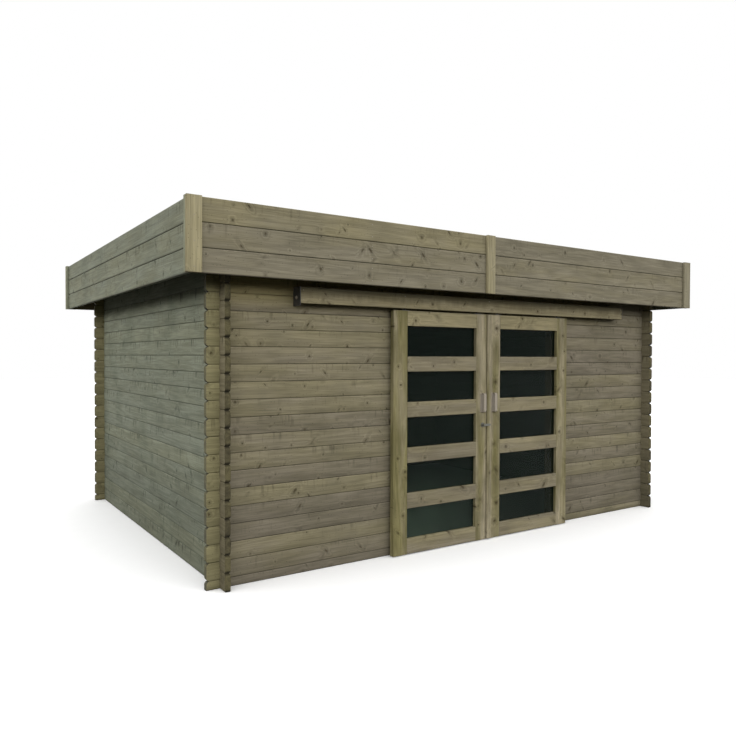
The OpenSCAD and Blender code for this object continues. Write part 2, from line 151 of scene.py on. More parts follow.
def bar(grid, origin, along, up, through, tone=None, bow=0.0):
    """A grid of (along, up, through) points set in the frame as one closed bar, with the values that its
    material reads: grain, its own coordinates moved by a random length, and place, which holds the share
    of its height, its tone, and the distance to its nearer end."""
    if tone is None:
        tone = rng.random()
    shift = rng.uniform(-40, 40, 3)
    phase = rng.uniform(0, 2 * math.pi)
    count, around = grid.shape[:2]
    grid = grid.copy()
    length = np.ptp(grid[:, :, 0])
    height = np.ptp(grid[:, :, 1])
    share = (grid[:, :, 0] - grid[:, :, 0].min()) / length
    grid[:, :, 2] += bow * np.sin(2 * math.pi * share + phase)
    axes = np.array([along, up, through])
    points = origin + grid.reshape(-1, 3) @ axes
    index = np.arange(count * around).reshape(count, around)
    following = np.roll(index, -1, axis=1)
    quads = np.stack([index[:-1], following[:-1], following[1:], index[1:]], axis=2).reshape(-1, 4)
    caps = np.stack([index[0][::-1], index[-1]])
    if np.linalg.det(axes) < 0:
        quads = quads[:, ::-1]
        caps = caps[:, ::-1]
    normal = np.cross(points[quads[:, 2]] - points[quads[:, 0]], points[quads[:, 3]] - points[quads[:, 1]])
    size = np.linalg.norm(normal, axis=1)
    slope = np.abs(normal @ along) / np.maximum(size, 1e-12)
    up_share = (grid[:, :, 1] - grid[:, :, 1].min()) / height
    to_end = np.minimum(share, 1 - share) * length
    place = np.stack([up_share, np.full_like(share, tone), to_end], axis=2)
    return {
        "points": points,
        "quads": quads,
        "caps": caps,
        "end_quads": slope > END_GRAIN_SLOPE,
        "grain": grid.reshape(-1, 3) + shift,
        "place": place.reshape(-1, 3),
    }


def timber(name, bars, long_grain, end_grain, slot, *nodes, body="shed"):
    """One mesh of many bars, with the long-grain and end-grain materials, that stands for frame nodes."""
    starts = np.cumsum([0] + [len(b["points"]) for b in bars])
    faces = []
    ends = []
    for start, b in zip(starts, bars):
        faces += (b["quads"] + start).tolist() + (b["caps"] + start).tolist()
        ends += b["end_quads"].tolist() + [True, True]
    mesh = bpy.data.meshes.new(name)
    mesh.from_pydata(np.concatenate([b["points"] for b in bars]).tolist(), [], faces)
    for key in ("grain", "place"):
        values = np.concatenate([b[key] for b in bars]).astype(np.float32)
        mesh.attributes.new(key, "FLOAT_VECTOR", "POINT").data.foreach_set("vector", values.ravel())
    mesh.materials.append(long_grain)
    mesh.materials.append(end_grain)
    mesh.polygons.foreach_set("material_index", np.array(ends, np.int32))
    weld(mesh)
    dressed(name, mesh, nodes, body)


def weld(mesh):
    """Joins points that coincide and drops the faces that this leaves with no area."""
    work = bmesh.new()
    work.from_mesh(mesh)
    bmesh.ops.remove_doubles(work, verts=work.verts, dist=WELD)
    bmesh.ops.dissolve_degenerate(work, edges=work.edges, dist=WELD)
    work.to_mesh(mesh)
    work.free()


def dressed(name, mesh, nodes, body):
    """Object for a finished mesh, riding on its body and standing for the nodes named."""
    piece = bpy.data.objects.new(name, mesh)
    bpy.context.scene.collection.objects.link(piece)
    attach(piece, body)
    if nodes:
        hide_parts(*nodes)


# Materials

class Nodes:
    """The node tree of a material or a world, built by short calls, most of which return output sockets."""

    def __init__(self, owner):
        self.owner = owner
        owner.use_nodes = True
        self.tree = owner.node_tree
        self.tree.nodes.clear()

    def node(self, kind, inputs, **settings):
        made = self.tree.nodes.new(kind)
        for key, value in settings.items():
            setattr(made, key, value)
        for key, value in inputs.items():
            if isinstance(value, bpy.types.NodeSocket):
                self.tree.links.new(value, made.inputs[key])
            else:
                made.inputs[key].default_value = value
        return made

    def attribute(self, name):
        return self.node("ShaderNodeAttribute", {}, attribute_name=name).outputs["Vector"]

    def object_place(self):
        return self.node("ShaderNodeTexCoord", {}).outputs["Object"]

    def parts(self, vector):
        return self.node("ShaderNodeSeparateXYZ", {"Vector": vector}).outputs

    def stretch(self, vector, scale):
        made = self.node("ShaderNodeVectorMath", {0: vector, 1: scale}, operation="MULTIPLY")
        return made.outputs["Vector"]

    def noise(self, vector, scale=1.0, detail=2.0, rough=0.5, bend=0.0):
        inputs = {"Vector": vector, "Scale": scale, "Detail": detail, "Roughness": rough, "Distortion": bend}
        return self.node("ShaderNodeTexNoise", inputs).outputs["Fac"]

    def cells(self, vector, scale, flat=True):
        made = self.node("ShaderNodeTexVoronoi", {"Vector": vector, "Scale": scale},
                         voronoi_dimensions="2D" if flat else "3D")
        return made.outputs["Distance"], self.parts(made.outputs["Color"])

    def maths(self, operation, a, b=0.0, c=0.0):
        return self.node("ShaderNodeMath", {0: a, 1: b, 2: c}, operation=operation).outputs[0]

    def plus(self, a, b):
        return self.maths("ADD", a, b)

    def times(self, a, b):
        return self.maths("MULTIPLY", a, b)

    def most(self, a, b):
        return self.maths("MAXIMUM", a, b)

    def line(self, value, slope, start):
        return self.maths("MULTIPLY_ADD", value, slope, start)

    def fade(self, value, start, stop, low=0.0, high=1.0):
        inputs = {"Value": value, "From Min": start, "From Max": stop, "To Min": low, "To Max": high}
        return self.node("ShaderNodeMapRange", inputs, interpolation_type="SMOOTHSTEP").outputs["Result"]

    def mix(self, share, a, b, blend="MIX"):
        made = self.node("ShaderNodeMix", {0: share, 6: a, 7: b}, data_type="RGBA", blend_type=blend)
        return made.outputs[2]

    def shade(self, colour, share):
        grey = self.node("ShaderNodeCombineXYZ", {"X": share, "Y": share, "Z": share}).outputs[0]
        return self.mix(1.0, colour, grey, "MULTIPLY")

    def surface(self, height=None, relief=0.0, **inputs):
        if height is not None:
            bump = self.node("ShaderNodeBump", {"Strength": 1.0, "Distance": relief, "Height": height})
            inputs["Normal"] = bump.outputs["Normal"]
        names = {key.replace("_", " "): value for key, value in inputs.items()}
        shader = self.node("ShaderNodeBsdfPrincipled", names)
        self.node("ShaderNodeOutputMaterial", {"Surface": shader.outputs["BSDF"]})
        return self.owner


def paint(name):
    """Empty node tree of a new material."""
    return Nodes(bpy.data.materials.new(name))


def rgb(red, green, blue):
    """A colour given as screen values from 0 to 255, made linear."""
    screen = np.array([red, green, blue]) / 255
    linear = np.where(screen <= 0.04045, screen / 12.92, ((screen + 0.055) / 1.055) ** 2.4)
    return (*linear.tolist(), 1.0)


# Cells to a metre of board, one knot or none in each, and a knot's least radius and its spread in cells
KNOT_CELL = 6.2
KNOT_LEAST = 0.03
KNOT_SPREAD = 0.055
# Lean, squash and share of the round knots and of the two kinds of slanted spike knot
KNOT_KINDS = ((0.0, 0.9, 0.6), (0.7, 0.62, 0.4), (-0.6, 0.58, 0.4))
KNOT = rgb(58, 49, 34)
SIDE_KNOT = rgb(60, 62, 52)
# Where weathering and painted light start and stop: along a log's stub; up a wall and across the front for
# its yellower tint with painted light under the eaves; up a wall for the painted lift below the eaves; and up
# from the ground for its darkening
STUB = (0.085, 0.125)
DRY_LIT_RISE = (1.74, 1.94)
DRY_LIT_ACROSS = (1.2, 1.9)
PAINTED_LIFT_RISE = (1.2, 1.75)
LOW_DARK_RISE = (0.2, 1.2)


def knot_cells(p, grain, lean, squash, share, size):
    """Distance to the nearest knot in radii of that knot, and how dark it is: one knot or none to a cell of
    the board's face, whose axes are leaned and squashed so that a knot shows as a slanted spike."""
    along, up = p.parts(grain)[:2]
    leaned = p.line(up, lean, along)
    face = p.node("ShaderNodeCombineXYZ", {"X": leaned, "Y": p.times(up, squash)}).outputs[0]
    distance, kind = p.cells(face, KNOT_CELL)
    present = p.fade(kind[0], share - 0.02, share + 0.02, 1.0, 0.0)
    radius = p.line(p.maths("POWER", kind[1], 2.0), KNOT_SPREAD * size, KNOT_LEAST * size)
    ragged = p.times(p.noise(grain, 110.0, 2.0), 1.3)
    nearness = p.plus(p.maths("DIVIDE", distance, radius), ragged)
    return nearness, p.times(present, p.fade(kind[2], 0.0, 0.8, 0.35, 1.0))


def knot_marks(p, grain, amount, size):
    """Cores and halos of the knots of all kinds, and how far they pull the growth rings."""
    core = 0.0
    halo = 0.0
    pull = 0.0
    for lean, squash, share in KNOT_KINDS:
        nearness, strength = knot_cells(p, grain, lean, squash, share * amount, size)
        core = p.most(core, p.times(p.fade(nearness, 0.9, 1.7, 1.0, 0.0), strength))
        halo = p.most(halo, p.times(p.fade(nearness, 1.2, 3.2, 1.0, 0.0), strength))
        pull = p.most(pull, p.times(p.fade(nearness, 1.0, 5.0, 0.3, 0.0), strength))
    return core, halo, pull


def run_marks(p, grain, rise):
    """Dark marks that run down in groups from a board's top edge: fine stripes, where a slow noise lets them
    start, as far as a broader one lets them reach."""
    fine = p.noise(p.stretch(grain, (42.0, 4.0, 4.0)), 1.0, 2.0, 0.6)
    broad = p.noise(p.stretch(grain, (24.0, 2.0, 2.0)), 1.0, 2.0, 0.5)
    where = p.fade(p.noise(p.stretch(grain, (3.2, 3.0, 3.0)), 1.0, 1.0), 0.4, 0.64)
    reach = p.fade(p.line(broad, 1.1, rise), 0.9, 1.4)
    return p.times(p.times(p.fade(fine, 0.54, 0.68), where), reach)


def pine_grain(name, fresh, grey, stain, joint=0.0, body=(1.0, 1.0), varied=0.0, bands=0.0, patchy=0.09,
               streaks=0.0, knots=1.0, knot_size=1.0, knot=KNOT, stub=None, dry_lit_tint=None, dark_patches=1.0, painted_lift=1.0,
               stain_and_shadow=0.0):
    """Weathered pine along the grain: growth rings as the contour lines of a stretched noise, knots that bend
    them, and fine fibres. A bar's tone, slow blotches and bands along the grain carry it from fresh to grey,
    and patchy is how far the blotches change its brightness. A board with a joint below it is dark over that
    share of its height, changes from the first to the second brightness of body up its face, which is painted
    light on its rounded face with some staining, differs from its neighbours by varied, is darker in patches
    towards the ground, to the brightness dark_patches, and has painted light high on the wall below the
    eaves, the brightness painted_lift.
    streaks is the strength of the run marks below its top edge, stub its colour where it runs past the wall
    that it crosses, dry_lit_tint its colour under the eaves, a less greyed tone with painted light from the
    left, and stain_and_shadow the strength of a dark stain along its top that is also a painted shadow of the
    eaves."""
    p = paint(name)
    grain = p.attribute("grain")
    rise, tone, to_end = p.parts(p.attribute("place"))
    world = p.object_place()
    core, halo, pull = knot_marks(p, grain, knots, knot_size)
    slow = p.noise(p.stretch(grain, (0.9, 13.0, 13.0)), 1.0, 2.0, 0.45, 0.4)
    contour = p.times(p.plus(slow, pull), 11.0)
    rings = p.fade(p.maths("PINGPONG", contour, 1.0), 0.1, 0.95)
    fibre = p.noise(p.stretch(grain, (5.0, 210.0, 210.0)), 1.0, 3.0, 0.6)
    patch = p.noise(world, 2.3, 3.0, 0.6)
    blotch = p.noise(p.stretch(grain, (2.2, 9.0, 9.0)), 1.0, 3.0, 0.6)
    age = p.plus(p.times(tone, 0.5), p.times(blotch, 0.8))
    age = p.plus(age, p.line(slow, bands, -0.5 * bands))
    colour = p.mix(p.fade(age, 0.25, 0.95), fresh, grey)
    colour = p.mix(p.fade(patch, 0.42, 0.74, 0.0, 0.55), colour, stain)
    spot = p.parts(world)
    across = spot["X"]
    height = spot["Z"]
    # Under the eaves, fading out towards the right end: a yellower, less greyed tone that is also painted
    # light falling from the left
    if dry_lit_tint:
        eaves_lit_share = p.fade(height, *DRY_LIT_RISE, 0.0, 0.75)
        colour = p.mix(p.times(eaves_lit_share, p.fade(across, *DRY_LIT_ACROSS, 1.0, 0.0)), colour, dry_lit_tint)
    if stub:
        colour = p.mix(p.fade(to_end, *STUB, 0.9, 0.0), colour, stub)
    colour = p.shade(colour, p.fade(blotch, 0.3, 0.7, 0.99 - patchy, 0.99 + patchy))
    colour = p.shade(colour, p.fade(fibre, 0.3, 0.72, 0.82, 1.12))
    colour = p.shade(colour, p.line(rings, -0.17, 1.07))
    if joint:
        # Painted light with some staining: the brightness changes up each board's face by body, as light
        # falls on its rounded face
        lower = p.plus(rise, p.line(blotch, 0.5, -0.25))
        colour = p.shade(colour, p.fade(lower, 0.05, 0.65, *body))
        colour = p.shade(colour, p.fade(rise, 0.0, joint, 0.5, 1.0))
        colour = p.shade(colour, p.fade(tone, 0.0, 1.0, 1.0 + varied, 1.0 - varied))
        # Darker towards the ground, with a patchy edge
        above = p.line(patch, 0.4, height)
        colour = p.shade(colour, p.fade(above, *LOW_DARK_RISE, dark_patches, 1.0))
        # Painted light: a brightness lift high on the wall, below the eaves, against the eaves' shade
        colour = p.shade(colour, p.fade(height, *PAINTED_LIFT_RISE, 1.0, painted_lift))
    if streaks:
        colour = p.shade(colour, p.line(run_marks(p, grain, rise), -streaks, 1.0))
    # Dark along its top: a ragged stain that is also a painted shadow of the eaves
    if stain_and_shadow:
        ragged = p.noise(p.stretch(grain, (13.0, 2.0, 2.0)), 1.0, 3.0, 0.65)
        stain_shadow_edge = p.plus(rise, p.line(ragged, 0.7, -0.35))
        colour = p.shade(colour, p.fade(stain_shadow_edge, 0.2, 0.8, 1.0, 1.0 - stain_and_shadow))
    speck, speck_kind = p.cells(grain, 42.0)
    dots = p.times(p.fade(speck, 0.05, 0.13, 1.0, 0.0), p.fade(speck_kind[0], 0.8, 0.86))
    colour = p.shade(colour, p.line(dots, -0.55, 1.0))
    colour = p.shade(colour, p.line(halo, -0.26, 1.0))
    colour = p.mix(p.times(core, 0.8), colour, knot)
    relief = p.line(rings, 0.35, p.times(fibre, 0.5))
    relief = p.plus(relief, p.times(core, 0.4))
    return p.surface(relief, 1.2 * MM, Base_Color=colour, Roughness=p.fade(fibre, 0.2, 0.8, 0.72, 0.92),
                     Specular_IOR_Level=0.05)


def pine_ends(name, fresh, grey):
    """Sawn ends of pine: rings round a pith that lies off the middle, mottled by moisture, with short cracks,
    and
    painted shade along the edges: nearly black along the bottom edge and darker along the top one, where the
    gaps between pieces are shaded."""
    p = paint(name)
    grain = p.attribute("grain")
    rise, tone = p.parts(p.attribute("place"))[:2]
    section = p.parts(grain)
    wobble = p.noise(p.stretch(grain, (2.0, 16.0, 16.0)), 1.0, 2.0)
    turned = p.plus(p.times(p.maths("SINE", p.times(section["Y"], 34.0)), 0.5),
                    p.times(p.maths("SINE", p.times(section["Z"], 48.0)), 0.5))
    rings = p.maths("PINGPONG", p.times(p.plus(turned, wobble), 7.0), 1.0)
    dark_patches = p.noise(p.stretch(grain, (9.0, 26.0, 26.0)), 1.0, 3.0, 0.6)
    age = p.plus(p.times(tone, 0.6), p.times(dark_patches, 0.6))
    colour = p.mix(p.fade(age, 0.3, 0.9), fresh, grey)
    colour = p.shade(colour, p.line(rings, -0.22, 1.05))
    colour = p.shade(colour, p.fade(dark_patches, 0.35, 0.65, 1.12, 0.86))
    # Painted shade: nearly black along the bottom edge and darker along the top edge, where the gaps between
    # pieces are shaded
    colour = p.shade(colour, p.fade(rise, 0.02, 0.2, 0.22, 1.0))
    colour = p.shade(colour, p.fade(rise, 0.84, 1.0, 1.0, 0.5))
    crack = p.noise(p.stretch(grain, (12.0, 12.0, 130.0)), 1.0, 2.0, 0.6)
    cracks = p.fade(crack, 0.66, 0.74)
    colour = p.shade(colour, p.line(cracks, -0.6, 1.0))
    height = p.maths("SUBTRACT", p.times(rings, 0.4), cracks)
    return p.surface(height, 1.0 * MM, Base_Color=colour, Roughness=0.9, Specular_IOR_Level=0.2)


def dull_paint(name, colour, worn):
    """Black painted steel: grey wear in patches and a fine orange-peel surface."""
    p = paint(name)
    world = p.object_place()
    wear = p.noise(world, 22.0, 4.0, 0.65)
    fine = p.noise(world, 900.0, 2.0)
    tint = p.mix(p.fade(wear, 0.5, 0.75), colour, worn)
    return p.surface(fine, 0.1 * MM, Base_Color=tint, Roughness=p.fade(wear, 0.3, 0.7, 0.42, 0.65))


def satin_steel(name, colour, stretch):
    """Brushed steel: fine scratches along one axis, duller in patches."""
    p = paint(name)
    world = p.object_place()
    brushed = p.noise(p.stretch(world, stretch), 1.0, 3.0, 0.6)
    haze = p.noise(world, 30.0, 3.0)
    tint = p.shade(colour, p.fade(brushed, 0.25, 0.75, 0.82, 1.05))
    return p.surface(brushed, 0.05 * MM, Base_Color=tint, Metallic=0.2,
                     Roughness=p.fade(haze, 0.3, 0.7, 0.42, 0.6))


def window_glass(name, tint, dust_and_reflection):
    """Dark green window glass, the colour a painted reflection of dark surroundings, with a thin dusty film,
    thicker in patches and towards the ground on the left, where it is also a painted reflection of the
    ground.
    """
    p = paint(name)
    world = p.object_place()
    spot = p.parts(world)
    smear = p.noise(p.stretch(world, (7.0, 7.0, 3.0)), 1.0, 4.0, 0.6)
    # Lower panes, more on the left: the film is thicker, dusty and a painted reflection of the bright ground
    low = p.times(p.fade(spot["Z"], 0.1, 0.7, 0.6, 0.0), p.fade(spot["X"], -0.8, 0.5, 1.3, 0.1))
    film = p.times(p.fade(smear, 0.2, 0.8, 0.3, 0.9), p.plus(low, 0.05))
    colour = p.mix(film, tint, dust_and_reflection)
    return p.surface(Base_Color=colour, Roughness=p.fade(smear, 0.3, 0.8, 0.03, 0.12), Alpha=0.58,
                     Specular_IOR_Level=0.08)


def mineral_felt(name, colour, pale):
    """Mineral-faced roofing felt: pale and dark grains with slow weathering."""
    p = paint(name)
    world = p.object_place()
    chips = p.cells(world, 420.0, flat=False)[1][0]
    slow = p.noise(world, 1.6, 4.0, 0.6)
    tint = p.mix(p.fade(chips, 0.1, 0.95, 0.0, 0.5), colour, pale)
    tint = p.shade(tint, p.fade(slow, 0.3, 0.7, 0.75, 1.15))
    return p.surface(chips, 0.6 * MM, Base_Color=tint, Roughness=0.92)


# The front logs' colour under the eaves is a yellower tone with painted light from the left
front_logs = pine_grain("front_logs", rgb(125, 118, 93), rgb(117, 110, 95), rgb(103, 98, 81), joint=0.08,
                        body=(0.91, 1.02), varied=0.06, streaks=0.3, stub=rgb(129, 123, 91),
                        dry_lit_tint=rgb(152, 140, 96), dark_patches=0.88, painted_lift=1.08)
# Side logs carry painted light as a lift high on the wall, and darken in patches towards the ground
side_logs = pine_grain("side_logs", rgb(123, 125, 106), rgb(119, 123, 109), rgb(101, 106, 91), joint=0.1,
                       body=(0.97, 0.99), varied=0.05, streaks=0.6, knots=0.7, knot=SIDE_KNOT,
                       stub=rgb(116, 108, 86), dark_patches=0.75, painted_lift=1.11)
fascia_grain = pine_grain("fascia_boards", rgb(136, 128, 99), rgb(123, 117, 100), rgb(110, 105, 88),
                          joint=0.08, body=(1.0, 0.95), streaks=0.2)
side_fascia_grain = pine_grain("side_fascia_boards", rgb(128, 128, 107), rgb(119, 123, 110),
                               rgb(107, 111, 97), joint=0.12, body=(1.0, 0.97), streaks=0.35,
                               knot=SIDE_KNOT)
trim_grain = pine_grain("trim_boards", rgb(152, 143, 111), rgb(132, 126, 106), rgb(126, 119, 98), patchy=0.12,
                        knots=0.5)
side_trim_grain = pine_grain("side_trim_boards", rgb(139, 139, 114), rgb(128, 130, 112), rgb(116, 118, 100),
                             knots=0.5)
# The cover board is dark along its top: a stain and a painted shadow of the eaves
cover_grain = pine_grain("cover_board_pine", rgb(138, 128, 96), rgb(132, 124, 100), rgb(116, 108, 86),
                         stain_and_shadow=0.45)
stile_grain = pine_grain("door_stiles", rgb(113, 107, 73), rgb(145, 136, 114), rgb(118, 111, 86), bands=1.6,
                         patchy=0.2, knots=0.9, knot_size=1.5)
# The rails' fresh colour is raised so that the top rail, at the freshest tone, carries painted light against
# the eaves' shade
rail_grain = pine_grain("door_rails", rgb(143, 134, 104), rgb(116, 109, 92), rgb(110, 103, 86), bands=0.8,
                        patchy=0.17, knot_size=1.3)
sawn_grain = pine_grain("sawn_pine", rgb(158, 142, 104), rgb(140, 128, 100), rgb(128, 116, 90))
front_log_ends = pine_ends("front_log_ends", rgb(96, 92, 68), rgb(82, 80, 64))
side_log_ends = pine_ends("side_log_ends", rgb(88, 82, 58), rgb(66, 61, 45))
board_ends = pine_ends("board_ends", rgb(134, 124, 96), rgb(112, 104, 84))
black_steel = dull_paint("black_steel", rgb(38, 37, 35), rgb(66, 62, 56))
bright_steel = satin_steel("bright_steel", rgb(141, 132, 117), (900.0, 900.0, 12.0))
lock_steel = satin_steel("lock_steel", rgb(94, 94, 86), (300.0, 900.0, 300.0))
dull_zinc = dull_paint("dull_zinc", rgb(70, 69, 66), rgb(96, 94, 88))
# Pane colour: a painted reflection of dark surroundings; film colour: dusty and a painted reflection of the
# ground
pane_glass = window_glass("pane_glass", rgb(3, 12, 7), rgb(66, 84, 69))
roof_felt = mineral_felt("roof_felt", rgb(58, 60, 60), rgb(96, 98, 96))


# Log walls

def rounded_end(height, bottom):
    """Stations of a log's open end, from its tip inwards: its top and bottom edges fall away to the tip, the
    bottom one only where the log doesn't lie on the ground."""
    chamfer = LOG_END_CHAMFER
    rows = [(0.0, 1.0, 1.2 * MM), (0.06, 0.82, 0.0), (0.22, 0.54, 0.0), (0.54, 0.22, 0.0), (1.0, 0.0, 0.0)]
    return [(along * chamfer, 0.0 if bottom else drop * chamfer, height - drop * chamfer, pinch)
            for along, drop, pinch in rows]


def log_stations(start, stop, height, start_open, stop_open, crossings, low_notch, high_notch, bottom):
    """Stations along a log: rounded where its end is open, stepped to a neck where a wall crosses it."""
    tip = rounded_end(height, bottom)
    whole = (0, height, 0)
    rows = [(start + row[0], *row[1:]) for row in tip] if start_open else [(start, *whole)]
    last = [(stop - row[0], *row[1:]) for row in tip[::-1]] if stop_open else [(stop, *whole)]
    neck = log_t / 2 + NOTCH_PLAY
    edges = [rows[-1][0]]
    body = []
    for place in crossings:
        body += [(place - neck, *whole), (place - neck, low_notch, height - high_notch, 0)]
        body += [(place + neck, low_notch, height - high_notch, 0), (place + neck, *whole)]
        edges += [place - neck, place + neck]
    edges += [last[0][0]]
    widest = int(np.argmax(np.diff(edges)))
    count = max(2, int((edges[widest + 1] - edges[widest]) / BODY_STEP))
    between = np.linspace(edges[widest], edges[widest + 1], count + 1)[1:-1]
    return rows + sorted(body + [(s, *whole) for s in between], key=lambda row: row[0]) + last


def wall_logs(rows, half_row, start, stop, crossings, origin, along, through):
    """Bars for the rows of one wall. half_row is the row that is half a log high."""
    bars = []
    quarter = log_h / 4
    for row in rows:
        row_height = log_h / 2 if row == half_row else log_h
        base = row * log_h
        if half_row == 0 and row > 0:
            base -= log_h / 2
        bottom = base < MM
        top = base + row_height > wall_top - MM
        height = row_height if top else row_height - LOG_GAP
        low_notch = 0 if bottom and row == half_row else quarter
        high_notch = 0 if top and row == half_row else quarter
        stations = log_stations(start, stop, height, min(crossings) < 0, max(crossings) > 0, crossings,
                                low_notch, high_notch, bottom)
        grid = carried(log_outline(height, log_t), stations)
        bars.append(bar(grid, origin + base * Z, along, Z, through, bow=LOG_BOW))
    return bars


all_rows = range(LOG_ROWS + 1)
beside_rows = range(DOORWAY_ROWS + 1)
over_rows = range(DOORWAY_ROWS + 1, LOG_ROWS + 1)
log_stop_left = box("front_wall_left")[1][0]
log_stop_right = box("front_wall_right")[0][0]
both_sides = [-cross_x, cross_x]
both_ends = [-cross_y, cross_y]


def side_wall(name, node, place):
    """Logs of a side wall, whole rows with a half row on top, at its place along X."""
    bars = wall_logs(all_rows, LOG_ROWS, -log_reach_y, log_reach_y, both_ends, place * X, Y, -X)
    timber(name, bars, side_logs, side_log_ends, "log_timber", node)


def long_wall(name, node, rows, start, stop, crossings, place):
    """Logs of a stretch of the front or back wall, whole rows on a half row, at its place along Y."""
    bars = wall_logs(rows, 0, start, stop, crossings, place * Y, X, Y)
    timber(name, bars, front_logs, front_log_ends, "log_timber", node)


side_wall("left_wall_logs", "left_wall", -cross_x)
side_wall("right_wall_logs", "right_wall", cross_x)
long_wall("back_wall_logs", "back_wall", all_rows, -log_reach_x, log_reach_x, both_sides, cross_y)
long_wall("front_logs_left", "front_wall_left", beside_rows, -log_reach_x, log_stop_left, [-cross_x],
          -cross_y)
long_wall("front_logs_right", "front_wall_right", beside_rows, log_stop_right, log_reach_x, [cross_x],
          -cross_y)
long_wall("front_logs_over_doorway", "front_wall_top", over_rows, -log_reach_x, log_reach_x, both_sides,
          -cross_y)


# Boards

def board_between(low, high, grain, edge=EDGE_ROUND, tone=None):
    """Board that fills the box from low to high, its grain along X, Y or Z, with softened edges and ends."""
    low = np.asarray(low, float)
    high = np.asarray(high, float)
    size = high - low
    along = int(np.argmax(np.abs(grain)))
    others = [axis for axis in range(3) if axis != along]
    up_axis = others[int(size[others[1]] > size[others[0]])]
    through_axis = [axis for axis in others if axis != up_axis][0]
    axes = np.eye(3)
    length = size[along]
    outline = board_outline(size[up_axis], size[through_axis], edge)
    pinch = edge / 2
    rows = [(0, pinch, size[up_axis] - pinch, pinch), (pinch, 0, size[up_axis], 0)]
    count = max(1, int(length / BODY_STEP))
    rows += [(s, 0, size[up_axis], 0) for s in np.linspace(pinch, length - pinch, count + 1)[1:]]
    rows += [(length, pinch, size[up_axis] - pinch, pinch)]
    origin = low + axes[through_axis] * size[through_axis] / 2
    return bar(carried(outline, rows), origin, axes[along], axes[up_axis], axes[through_axis], tone)


def planed(name, bars, grain, node):
    """Planed boards of the fascia and its trims, or of the track's cover."""
    timber(name, bars, grain, board_ends, "board_timber", node)


FASCIA_ROWS = 3
FASCIA_BEVEL = 4.0 * MM


def fascia_bars(node, along_axis, face_out):
    """Rows of fascia boards that fill a node's box, each with a bevelled joint to the next."""
    low, high = box(node)
    along = np.eye(3)[along_axis]
    through_axis = 1 - along_axis
    thickness = (high - low)[through_axis]
    pitch = (high[2] - low[2] + LOG_GAP) / FASCIA_ROWS
    height = pitch - LOG_GAP
    length = (high - low)[along_axis]
    count = max(2, int(length / BODY_STEP))
    half = thickness / 2
    bevel = FASCIA_BEVEL
    outline = soft_outline([[height, half - bevel], [height - bevel, half], [bevel, half], [0, half - bevel],
                            [0, bevel - half], [bevel, -half], [height - bevel, -half],
                            [height, bevel - half]], MM)
    rows = [(s, 0, height, 0) for s in np.linspace(0, length, count + 1)]
    origin = np.array(low)
    origin[through_axis] += half
    through = np.eye(3)[through_axis] * face_out
    return [bar(carried(outline, rows), origin + row * pitch * Z, along, Z, through)
            for row in range(FASCIA_ROWS)]


for name, axis, out, grain in (
        ("front_fascia_left", 0, -1, fascia_grain), ("front_fascia_right", 0, -1, fascia_grain),
        ("back_fascia_left", 0, 1, fascia_grain), ("back_fascia_right", 0, 1, fascia_grain),
        ("left_fascia", 1, -1, side_fascia_grain), ("right_fascia", 1, 1, side_fascia_grain)):
    planed(name + "_boards", fascia_bars(name, axis, out), grain, name)

# Trims over the corners and joints of the fascia
TRIM_WIDTH = 95 * MM
SIDE_TRIM_WIDTH = 30 * MM
BATTEN_WIDTH = 83 * MM


def strips(node, axis, spans, tones):
    """Upright boards in a node's box, each given by where it starts and stops along an axis."""
    low, high = box(node)
    bars = []
    for (first, last), tone in zip(spans, tones):
        strip_low = low.copy()
        strip_high = high.copy()
        strip_low[axis] = first
        strip_high[axis] = last
        bars.append(board_between(strip_low, strip_high, Z, tone=tone))
    return bars


for side in ("front", "back"):
    node = side + "_trims"
    low, high = box(node)
    joint = box(side + "_fascia_left")[1][0]
    spans = [(low[0], low[0] + TRIM_WIDTH), (high[0] - TRIM_WIDTH, high[0]),
             (joint - BATTEN_WIDTH / 2, joint + BATTEN_WIDTH / 2)]
    # The +X trim's greyer tone also makes it darker: painted shade, as light falls from the left, with grey
    # weathering
    planed(side + "_trim_strips", strips(node, 0, spans, (0.1, 1.0, 0.3)), trim_grain, node)
for side in ("left", "right"):
    node = side + "_trims"
    low, high = box(node)
    spans = [(low[1], low[1] + SIDE_TRIM_WIDTH), (high[1] - SIDE_TRIM_WIDTH, high[1])]
    planed(side + "_trim_strips", strips(node, 1, spans, (0.4, 0.6)), side_trim_grain, node)

planed("cover_board", [board_between(cover_low, cover_high, X, tone=0.5)], cover_grain, "track_cover_board")


# Roof: joists, boards, felt and the studs behind the fascia
JOIST_WIDTH = 45 * MM
JOIST_COUNT = 5
ROOF_BOARD = 120 * MM
STUD = 45 * MM


def sawn(name, bars, node):
    """Sawn timber of the roof or the doorway."""
    timber(name, bars, sawn_grain, board_ends, "sawn_timber", node)


def joists(node, count):
    """Joists of a node, spread evenly along X over its box."""
    low, high = box(node)
    starts = np.linspace(low[0], high[0] - JOIST_WIDTH, count)
    return [board_between((x, low[1], low[2]), (x + JOIST_WIDTH, high[1], high[2]), Y) for x in starts]


sawn("joist_beams", joists("roof_joists", JOIST_COUNT), "roof_joists")
sawn("verge_beams", joists("verge_joists", 2), "verge_joists")
edges = np.linspace(deck_low[1], deck_high[1], round((deck_high[1] - deck_low[1]) / ROOF_BOARD) + 1)
sawn("roof_boards", [board_between((deck_low[0], first, deck_low[2]),
                                   (deck_high[0], last - LOG_GAP, deck_high[2]), X)
                     for first, last in zip(edges[:-1], edges[1:])], "roof_deck")

